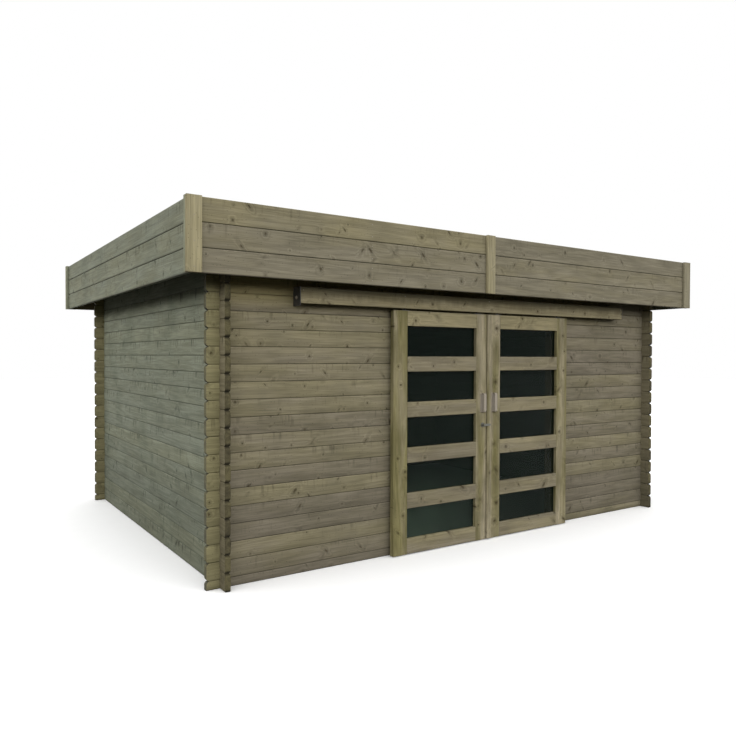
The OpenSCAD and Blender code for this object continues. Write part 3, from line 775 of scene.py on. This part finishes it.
stud_low, stud_high = box("fascia_studs")
joint_x = box("front_fascia_left")[1][0]
far_x = stud_high[0] - STUD / 2
far_y = stud_high[1] - STUD / 2
stud_places = [(x, y) for y in (-far_y, far_y) for x in (-far_x, -far_x / 2, far_x / 2, far_x)]
stud_places += [(joint_x, -far_y), (-joint_x, far_y), (-far_x, 0), (far_x, 0)]
sawn("stud_posts", [board_between((x - STUD / 2, y - STUD / 2, stud_low[2]),
                                  (x + STUD / 2, y + STUD / 2, stud_high[2]), Z)
                    for x, y in stud_places], "fascia_studs")

FELT_WIDTH = 0.98
FELT_LAP = 0.08
FELT_LAP_RISE = 3.0 * MM
FELT_EDGE = 2 * MM
FELT_FADE = 0.03
FELT_WAVE = 0.8 * MM
FELT_WAVES_ALONG = 7.3
FELT_WAVES_ACROSS = 2.1
FELT_WAVE_SWING = 2.0
FELT_COLUMNS = 90
FELT_ROWS = 60


def felt_sheets():
    """Felt as a slab over the roof: its top is a height over X and Y, a step up at each lap that dies away
    up the sheet, plus slow waves along the sheets. The underside is flat."""
    xs = np.linspace(felt_low[0], felt_high[0], FELT_COLUMNS)
    laps = np.arange(felt_low[1] + FELT_WIDTH, felt_high[1] - FELT_LAP, FELT_WIDTH - FELT_LAP)
    faded = FELT_LAP + FELT_FADE
    steps = (laps[:, None] + np.array([-FELT_EDGE, 0.0, FELT_LAP, faded])).ravel()
    ys = np.unique(np.concatenate([np.linspace(felt_low[1], felt_high[1], FELT_ROWS), steps]))
    past = ys[:, None] - laps
    rise = np.clip((past + FELT_EDGE) / FELT_EDGE, 0, 1) * np.clip((faded - past) / FELT_FADE, 0, 1)
    lap = FELT_LAP_RISE * rise.sum(axis=1)
    swing = FELT_WAVE_SWING * np.sin(ys[:, None] * FELT_WAVES_ACROSS)
    waves = FELT_WAVE * (1 + np.sin(xs[None, :] * FELT_WAVES_ALONG + swing)) / 2
    top = felt_high[2] - FELT_WAVE + lap[:, None] + waves
    columns, rows = np.meshgrid(xs, ys)
    upper = np.stack([columns, rows, top], axis=2).reshape(-1, 3)
    lower = np.stack([columns, rows, np.full_like(top, felt_low[2])], axis=2).reshape(-1, 3)
    index = np.arange(top.size).reshape(top.shape)
    faces = np.stack([index[:-1, :-1], index[:-1, 1:], index[1:, 1:], index[1:, :-1]], axis=2).reshape(-1, 4)
    rim = np.concatenate([index[0, :-1], index[:-1, -1], index[-1, :0:-1], index[:0:-1, 0]])
    after = np.roll(rim, -1)
    sides = np.stack([rim, rim + top.size, after + top.size, after], axis=1)
    mesh = bpy.data.meshes.new("felt_sheets")
    mesh.from_pydata(np.concatenate([upper, lower]).tolist(), [],
                     np.concatenate([faces, faces[:, ::-1] + top.size, sides]).tolist())
    mesh.materials.append(roof_felt)
    dressed("felt_sheets", mesh, ("roof_felt",), "shed")


felt_sheets()


# Doorway lining
JAMB = 34 * MM
JAMB_GROOVE = 14 * MM
JAMB_GROOVE_WIDTH = log_t + 2 * NOTCH_PLAY


def jamb(outer_x, inward):
    """Jamb: a grooved outline carried up the doorway."""
    low, high = box("door_jambs")
    deep = (high[1] - low[1]) / 2
    groove = JAMB_GROOVE_WIDTH / 2
    corners = [[JAMB, -deep], [JAMB, deep], [0, deep], [0, groove], [JAMB_GROOVE, groove],
               [JAMB_GROOVE, -groove], [0, -groove], [0, -deep]]
    outline = soft_outline(corners, [EDGE_ROUND, EDGE_ROUND, MM, MM, MM, MM, MM, MM])
    height = high[2] - low[2]
    stations = [(s, 0, JAMB, 0) for s in np.linspace(0, height, 5)]
    origin = np.array([outer_x, (low[1] + high[1]) / 2, low[2]])
    return bar(carried(outline, stations), origin, Z, inward * X, Y)


jamb_low, jamb_high = box("door_jambs")
sawn("doorway_jambs", [jamb(jamb_low[0], 1), jamb(jamb_high[0], -1)], "door_jambs")
sawn("doorway_head", [board_between(head_low, head_high, X)], "door_head")


# Doors
PANE_ROWS = 5
STILE = 128 * MM
RAIL_HEIGHT = 113 * MM
GLASS_DEPTH = 28 * MM
GLASS = 4 * MM
REBATE = 10 * MM
BEAD_PLAY = 0.5 * MM
DOOR_EDGE = 2.5 * MM
DOOR_THICKNESS = 40 * MM
STRIP_GAP = 5 * MM
STRIP_TONE = 0.9
# The top rail's fresh tone is brighter: painted light against the eaves' shade
TOP_RAIL_TONE = -0.2
RAIL_TONE = 0.4
RAIL_TONE_SPREAD = 0.3


def pane_spans(low, high):
    """Bottom and top of each pane of a door."""
    pane = (high[2] - low[2] - (PANE_ROWS + 1) * RAIL_HEIGHT) / PANE_ROWS
    starts = low[2] + RAIL_HEIGHT + np.arange(PANE_ROWS) * (pane + RAIL_HEIGHT)
    return np.stack([starts, starts + pane], axis=1)


def stile(low, high, outer_x, inward, spans, tone):
    """Stile: its outline carried up the door, with the corner behind the glass stepped back by the rebate
    between the bottom and the top of each pane."""
    half = (high[1] - low[1]) / 2
    glass = GLASS_DEPTH - half
    corners = [[STILE, -half], [STILE, glass], [STILE, half], [0, half], [0, -half]]
    outline = soft_outline(corners, [DOOR_EDGE, 0, 0, DOOR_EDGE, DOOR_EDGE])
    hinge = int(np.argmax((np.abs(outline[:, 0] - STILE) < 1e-9) & (np.abs(outline[:, 1] - glass) < 1e-9)))
    outline = np.insert(outline, hinge + 1, outline[hinge], axis=0)
    behind = np.zeros(len(outline))
    behind[hinge + 1:hinge + 3] = REBATE
    cuts = np.sort(np.concatenate([spans[:, 0] - REBATE, spans[:, 1] + REBATE])) - low[2]
    heights = np.concatenate([[0], np.repeat(cuts, 2), [high[2] - low[2]]])
    stepped = np.concatenate([[0], np.tile([0, 1, 1, 0], len(spans)), [0]])
    across = outline[None, :, 0] - stepped[:, None] * behind[None, :]
    through = np.broadcast_to(outline[None, :, 1], across.shape)
    grid = np.stack([np.broadcast_to(heights[:, None], across.shape), across, through], axis=2)
    origin = np.array([outer_x, (low[1] + high[1]) / 2, low[2]])
    return bar(grid, origin, Z, inward * X, Y, tone)


def rail(low, high, first_x, last_x, bottom, below, above, tone):
    """Rail: an outline with a rebate behind the panes below and above it, carried from stile to stile."""
    half = (high[1] - low[1]) / 2
    glass = GLASS_DEPTH - half
    top = RAIL_HEIGHT
    corners = [[top, -half]]
    corners += [[top, glass], [top - REBATE, glass], [top - REBATE, half]] if above else [[top, half]]
    corners += [[REBATE, half], [REBATE, glass], [0, glass]] if below else [[0, half]]
    corners += [[0, -half]]
    sizes = np.zeros(len(corners))
    sizes[[0, -1]] = DOOR_EDGE
    outline = soft_outline(corners, sizes)
    stations = [(s, 0, top, 0) for s in np.linspace(0, last_x - first_x, 4)]
    origin = np.array([first_x, (low[1] + high[1]) / 2, bottom])
    return bar(carried(outline, stations), origin, X, Z, Y, tone)


def bead_frame(first_x, last_x, bottom, top, back):
    """Four beads round a pane, from the glass to the back of the door."""
    grow = REBATE - BEAD_PLAY
    front = back - (DOOR_THICKNESS - GLASS_DEPTH - GLASS)
    bars = []
    for first, last in ((first_x - grow, first_x), (last_x, last_x + grow)):
        bars.append(board_between((first, front, bottom - grow), (last, back, top + grow), Z, edge=MM))
    for first, last in ((bottom - grow, bottom), (top, top + grow)):
        bars.append(board_between((first_x + LOG_GAP, front, first), (last_x - LOG_GAP, back, last), X,
                                  edge=MM))
    return bars


def door_boards(body, piece, bars, grain, node):
    """Timber that rides on a door."""
    timber(f"{body}_{piece}", bars, grain, board_ends, "door_timber", f"{body}_{node}", body=body)


def dress_door(side, left_tone, right_tone):
    """Stiles, rails and beads of one door, with the tones of its stiles."""
    low, high = box(side + "_door_stiles")
    spans = pane_spans(low, high)
    stiles = [stile(low, high, low[0], 1, spans, left_tone), stile(low, high, high[0], -1, spans, right_tone)]
    body = side + "_door"
    door_boards(body, "stile_boards", stiles, stile_grain, "stiles")
    first_x = low[0] + STILE
    last_x = high[0] - STILE
    bottoms = np.concatenate([[low[2]], spans[:, 1]])
    rails = [rail(low, high, first_x, last_x, bottom, row > 0, row < PANE_ROWS,
                  TOP_RAIL_TONE if row == PANE_ROWS else RAIL_TONE + RAIL_TONE_SPREAD * rng.random())
             for row, bottom in enumerate(bottoms)]
    door_boards(body, "rail_boards", rails, rail_grain, "rails")
    beads = sum([bead_frame(first_x, last_x, bottom, top, high[1]) for bottom, top in spans], [])
    door_boards(body, "glazing_beads", beads, rail_grain, "beads")


dress_door("left", -0.3, 0.45)
dress_door("right", 0.45, 0.3)


def meeting_strip():
    """Strip over the joint between the doors: an outline cut back behind its left part, carried up the
    door."""
    low, high = box("right_door_strip")
    width = high[0] - low[0]
    half = (high[1] - low[1]) / 2
    held = box("right_door_stiles")[0][0] - low[0]
    corners = [[width, -half], [width, half], [held, half], [held, half - STRIP_GAP], [0, half - STRIP_GAP],
               [0, -half]]
    outline = soft_outline(corners, [EDGE_ROUND, MM, MM, MM, MM, EDGE_ROUND])
    stations = [(s, 0, width, 0) for s in np.linspace(0, high[2] - low[2], 6)]
    origin = np.array([low[0], (low[1] + high[1]) / 2, low[2]])
    return bar(carried(outline, stations), origin, Z, X, Y, STRIP_TONE)


timber("meeting_strip_board", [meeting_strip()], stile_grain, board_ends, "door_timber", "right_door_strip",
       body="right_door")


# Screws and bolts
SCREW_HEAD = 3.4 * MM
SCREW_RISE = 0.9 * MM
SCREW_SIDES = 10
BOLT_HEAD = 9.0 * MM
BOLT_RISE = 6.0 * MM
BOLT_SIDES = 6
WASHER = 13.0 * MM
WASHER_RISE = 1.6 * MM
WASHER_SIDES = 14
SCREW_INSET = 32 * MM
SCREW_SHARES = (0.22, 0.78)
BRACKETS = 5
STRAP = 40 * MM
END_BOLT_UP = 10 * MM
HANDLE_PLATE = 2.5 * MM
HANDLE_SCREW_OUT = 20 * MM
HANDLE_SCREW_UP = 65 * MM


def heads(places, outward, radius, rise, sides):
    """Points and faces of heads on a face: circles of points round each place, shrunk and raised from a foot
    just under the face to a crown, the height falling with the square of the distance from the middle."""
    places = np.asarray(places, float)
    outward = np.asarray(outward, float)
    across = np.roll(np.abs(outward), 1)
    other = np.cross(outward, across)
    shrink = np.array([1.0, 1.0, 0.8, 0.4])
    lift = np.array([-0.4 * MM, 0.45 * rise, 0.72 * rise, rise])
    turn = np.arange(sides) * 2 * math.pi / sides
    circle = np.cos(turn)[:, None] * across + np.sin(turn)[:, None] * other
    shape = radius * shrink[:, None, None] * circle + lift[:, None, None] * outward
    points = (places[:, None, None, :] + shape).reshape(-1, 3)
    index = np.arange(len(points)).reshape(len(places), len(shrink), sides)
    after = np.roll(index, -1, axis=2)
    quads = np.stack([index[:, :-1], after[:, :-1], after[:, 1:], index[:, 1:]], axis=3).reshape(-1, 4)
    caps = np.concatenate([index[:, 0, ::-1], index[:, -1]])
    return points, quads.tolist() + caps.tolist()


def fasteners(name, groups, body="shed"):
    """One bright steel mesh of the heads of several groups, each given by the arguments of heads."""
    points = []
    faces = []
    count = 0
    for group in groups:
        more, polygons = heads(*group)
        faces += [[i + count for i in polygon] for polygon in polygons]
        points.append(more)
        count += len(more)
    mesh = bpy.data.meshes.new(name)
    mesh.from_pydata(np.concatenate(points).tolist(), [], faces)
    mesh.materials.append(bright_steel)
    dressed(name, mesh, (), body)


def screws(places, outward):
    """A group of round screw heads."""
    return places, outward, SCREW_HEAD, SCREW_RISE, SCREW_SIDES


def facing_screws(places, outward):
    """A group of screws on one face of the shed, and the same on the opposite face, given a half turn."""
    return [screws(places, outward), screws(np.array(places) * (-1, -1, 1), -outward)]


def bolts(places, outward):
    """Groups of six-sided bolt heads on round washers."""
    places = np.asarray(places, float)
    above = places + np.asarray(outward) * WASHER_RISE
    return [(places, outward, WASHER, WASHER_RISE, WASHER_SIDES),
            (above, outward, BOLT_HEAD, BOLT_RISE, BOLT_SIDES)]


trim_low, trim_high = box("front_trims")
side_low, side_high = box("left_trims")
fascia_low, fascia_high = box("front_fascia_left")
board_rise = (fascia_high[2] - fascia_low[2]) / FASCIA_ROWS
screw_heights = [fascia_low[2] + row * board_rise + share * board_rise for row in range(FASCIA_ROWS)
                 for share in SCREW_SHARES]
long_stud_xs = [-far_x / 2, far_x / 2]
trim_mids = [trim_low[0] + TRIM_WIDTH / 2, trim_high[0] - TRIM_WIDTH / 2, joint_x]
side_mids = [side_low[1] + SIDE_TRIM_WIDTH / 2, side_high[1] - SIDE_TRIM_WIDTH / 2]
fasteners("fascia_screws", [
    *facing_screws([(x, trim_high[1], z) for x in long_stud_xs for z in screw_heights], -Y),
    *facing_screws([(side_high[0], 0.0, z) for z in screw_heights], -X),
    *facing_screws([(x, trim_low[1], z) for x in trim_mids for z in screw_heights[::2]], -Y),
    *facing_screws([(side_low[0], y, z) for y in side_mids for z in screw_heights[::2]], -X),
])

bracket_low, bracket_high = box("track_brackets")
plate_low, plate_high = box("track_end_plates")
track_low, track_high = box("door_track")
bracket_xs = np.linspace(bracket_low[0] + STRAP / 2, bracket_high[0] - STRAP / 2, BRACKETS)
cover_mid = (cover_low[2] + cover_high[2]) / 2
fasteners("cover_board_screws", [
    screws([(x, cover_low[1], cover_mid + step * SCREW_INSET) for x in bracket_xs for step in (-1, 1)], -Y),
])
bolt_y = (track_low[1] + track_high[1]) / 2
bolt_z = (track_low[2] + track_high[2]) / 2 + END_BOLT_UP
fasteners("track_end_bolts", bolts([(plate_low[0], bolt_y, bolt_z)], -X)
          + bolts([(plate_high[0], bolt_y, bolt_z)], X))
for side in ("left", "right"):
    low, high = box(side + "_door_handle")
    mid = (low + high) / 2
    face = box(side + "_door_stiles")[0][1] - HANDLE_PLATE
    places = [(mid[0] + step * HANDLE_SCREW_OUT, face, mid[2] + up * HANDLE_SCREW_UP)
              for step in (-1, 1) for up in (-1, 1)]
    fasteners(side + "_handle_screws", [screws(places, -Y)], body=side + "_door")


# Finishes of the frame's own steel and glass
for names, finish in (
        (("door_track", "track_brackets", "track_end_plates"), black_steel),
        (("left_door_handle", "right_door_handle", "right_door_strike"), bright_steel),
        (("left_door_hangers", "right_door_hangers"), dull_zinc),
        (("left_door_lock",), lock_steel),
        (("left_door_glass", "right_door_glass"), pane_glass)):
    for name in names:
        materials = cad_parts[name].data.materials
        materials.clear()
        materials.append(finish)


# Floor, light and camera

def pale_floor():
    """Pale floor that sends less light back to the shed than it shows, as open ground does."""
    p = paint("pale_floor")
    path = p.node("ShaderNodeLightPath", {})
    grain = p.noise(p.object_place(), 6.0, 3.0)
    seen = p.shade((0.96, 0.96, 0.96, 1.0), p.fade(grain, 0.0, 1.0, 0.98, 1.0))
    colour = p.mix(path.outputs["Is Diffuse Ray"], seen, (0.035, 0.036, 0.03, 1.0))
    return p.surface(Base_Color=colour, Roughness=0.9, Specular_IOR_Level=0.0)


FLOOR_REACH = 40.0
corners = np.array([[-1, -1, 0], [1, -1, 0], [1, 1, 0], [-1, 1, 0]]) * FLOOR_REACH - Z * MM
floor_mesh = bpy.data.meshes.new("floor")
floor_mesh.from_pydata(corners.tolist(), [], [[0, 1, 2, 3]])
floor_mesh.materials.append(pale_floor())
floor = bpy.data.objects.new("floor", floor_mesh)
bpy.context.scene.collection.objects.link(floor)

# Sky: light by the height of a direction, brighter on one side, with its horizon lifted on the left
BRIGHT_SIDE = (-0.6, -0.8, 0.0)
SKY_LIGHT = 3.65
DIM_SHARE = 0.7
BRIGHT_SHARE = 1.3
LEFT_HORIZON = 0.09
SKY_BAND = ((0.0, 0.03), (0.05, 0.05), (0.1, 1.0), (0.26, 1.0), (0.42, 0.3), (0.66, 0.14), (0.86, 0.5),
            (1.0, 0.8))


def soft_sky():
    """World that lights the shed as a banded sky, and shows plain white to the camera and in reflections."""
    world = bpy.data.worlds.new("soft_sky")
    w = Nodes(world)
    path = w.node("ShaderNodeLightPath", {}).outputs
    mirrored = w.most(path["Is Glossy Ray"], path["Is Transmission Ray"])
    direction = w.node("ShaderNodeTexCoord", {}).outputs["Generated"]
    pointing = w.parts(direction)
    leftward = w.maths("MINIMUM", pointing["X"], 0.0)
    band = w.node("ShaderNodeValToRGB", {"Fac": w.line(leftward, LEFT_HORIZON, pointing["Z"])})
    ramp = band.color_ramp.elements
    while len(ramp) < len(SKY_BAND):
        ramp.new(0.5)
    for stop_at, (height, light) in zip(ramp, SKY_BAND):
        stop_at.position = height
        stop_at.color = (light, light, light, 1.0)
    facing = w.node("ShaderNodeVectorMath", {0: direction, 1: BRIGHT_SIDE}, operation="DOT_PRODUCT")
    strength = w.fade(facing.outputs["Value"], -0.5, 0.8, DIM_SHARE * SKY_LIGHT, BRIGHT_SHARE * SKY_LIGHT)
    sky = w.node("ShaderNodeBackground", {"Color": band.outputs["Color"], "Strength": strength}).outputs[0]
    white = w.node("ShaderNodeBackground", {"Color": (1.0, 1.0, 1.0, 1.0), "Strength": 1.0}).outputs[0]
    shown = w.most(path["Is Camera Ray"], mirrored)
    chosen = w.node("ShaderNodeMixShader", {0: shown, 1: sky, 2: white}).outputs[0]
    w.node("ShaderNodeOutputWorld", {"Surface": chosen})
    return world


bpy.context.scene.world = soft_sky()
bpy.context.scene.view_settings.view_transform = "Standard"

# Camera fitted to the photograph: place, turn to the right of +Y, tilt, roll, and lens in pixels of its width
CAMERA_PLACE = (-3.7908, -5.6975, 1.4777)
CAMERA_YAW = math.radians(33.585)
CAMERA_TILT = math.radians(-0.926)
CAMERA_ROLL = math.radians(0.1545)
LENS_PIXELS = 675.70
IMAGE_WIDTH = 736
SENSOR = 36.0
forward = Vector((math.sin(CAMERA_YAW) * math.cos(CAMERA_TILT), math.cos(CAMERA_YAW) * math.cos(CAMERA_TILT),
                  math.sin(CAMERA_TILT)))
level = Vector((math.cos(CAMERA_YAW), -math.sin(CAMERA_YAW), 0.0))
upright = level.cross(forward)
right = level * math.cos(CAMERA_ROLL) + upright * math.sin(CAMERA_ROLL)
up = upright * math.cos(CAMERA_ROLL) - level * math.sin(CAMERA_ROLL)
camera_data = bpy.data.cameras.new("camera")
camera_data.sensor_fit = "HORIZONTAL"
camera_data.sensor_width = SENSOR
camera_data.lens = LENS_PIXELS / IMAGE_WIDTH * SENSOR
camera = bpy.data.objects.new("camera", camera_data)
bpy.context.scene.collection.objects.link(camera)
turn = Matrix((right, up, -forward)).transposed()
camera.matrix_world = Matrix.Translation(CAMERA_PLACE) @ turn.to_4x4()
bpy.context.scene.camera = camera
